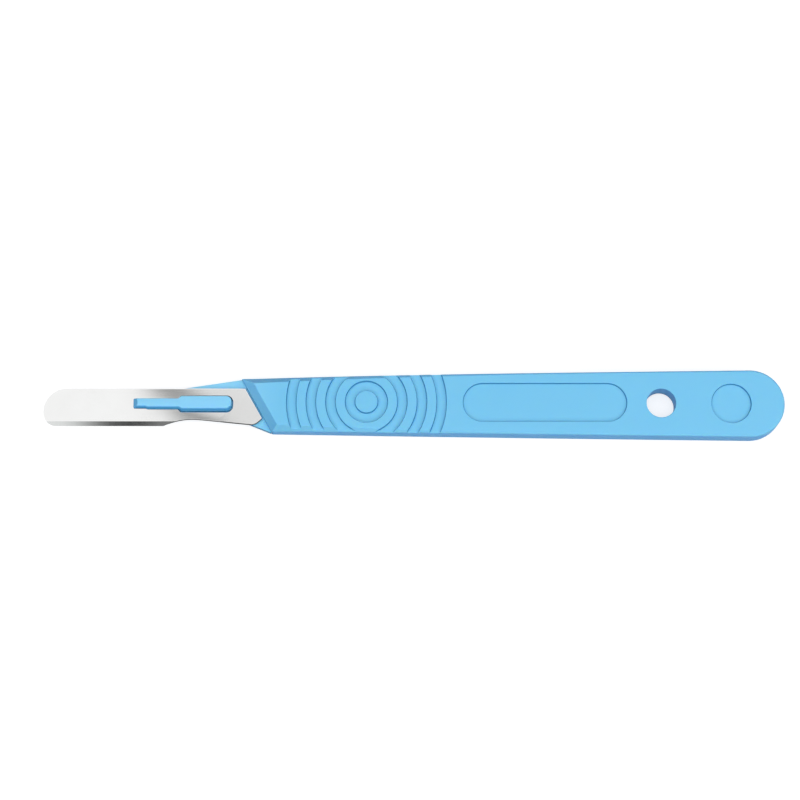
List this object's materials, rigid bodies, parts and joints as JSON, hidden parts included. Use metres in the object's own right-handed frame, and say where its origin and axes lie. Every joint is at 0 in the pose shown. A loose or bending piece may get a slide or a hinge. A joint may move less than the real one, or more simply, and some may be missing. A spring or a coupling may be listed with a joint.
{
  "type": "disposable scalpel",
  "caption": "Light blue moulded handle with ring grips, bevelled shoulder and hang hole, carrying a slim round-ended steel blade locked on a key-shaped boss.",
  "frame": {"origin": "middle of the overall length and width, on the flat back face that the handle rests on", "axes": "+X from the blade's tip to the handle's tail, +Y from the cutting edge towards the blade's spine, +Z out of the front face"},
  "size_m": [0.15, 0.0138, 0.0045],
  "materials": {
    "handle_plastic": "satin light blue injection moulding",
    "blade_steel": "bright polished strip steel with a ground edge"
  },
  "bodies": {
    "root": {"handle": "handle_plastic", "blade": "blade_steel"}
  },
  "joints": []
}
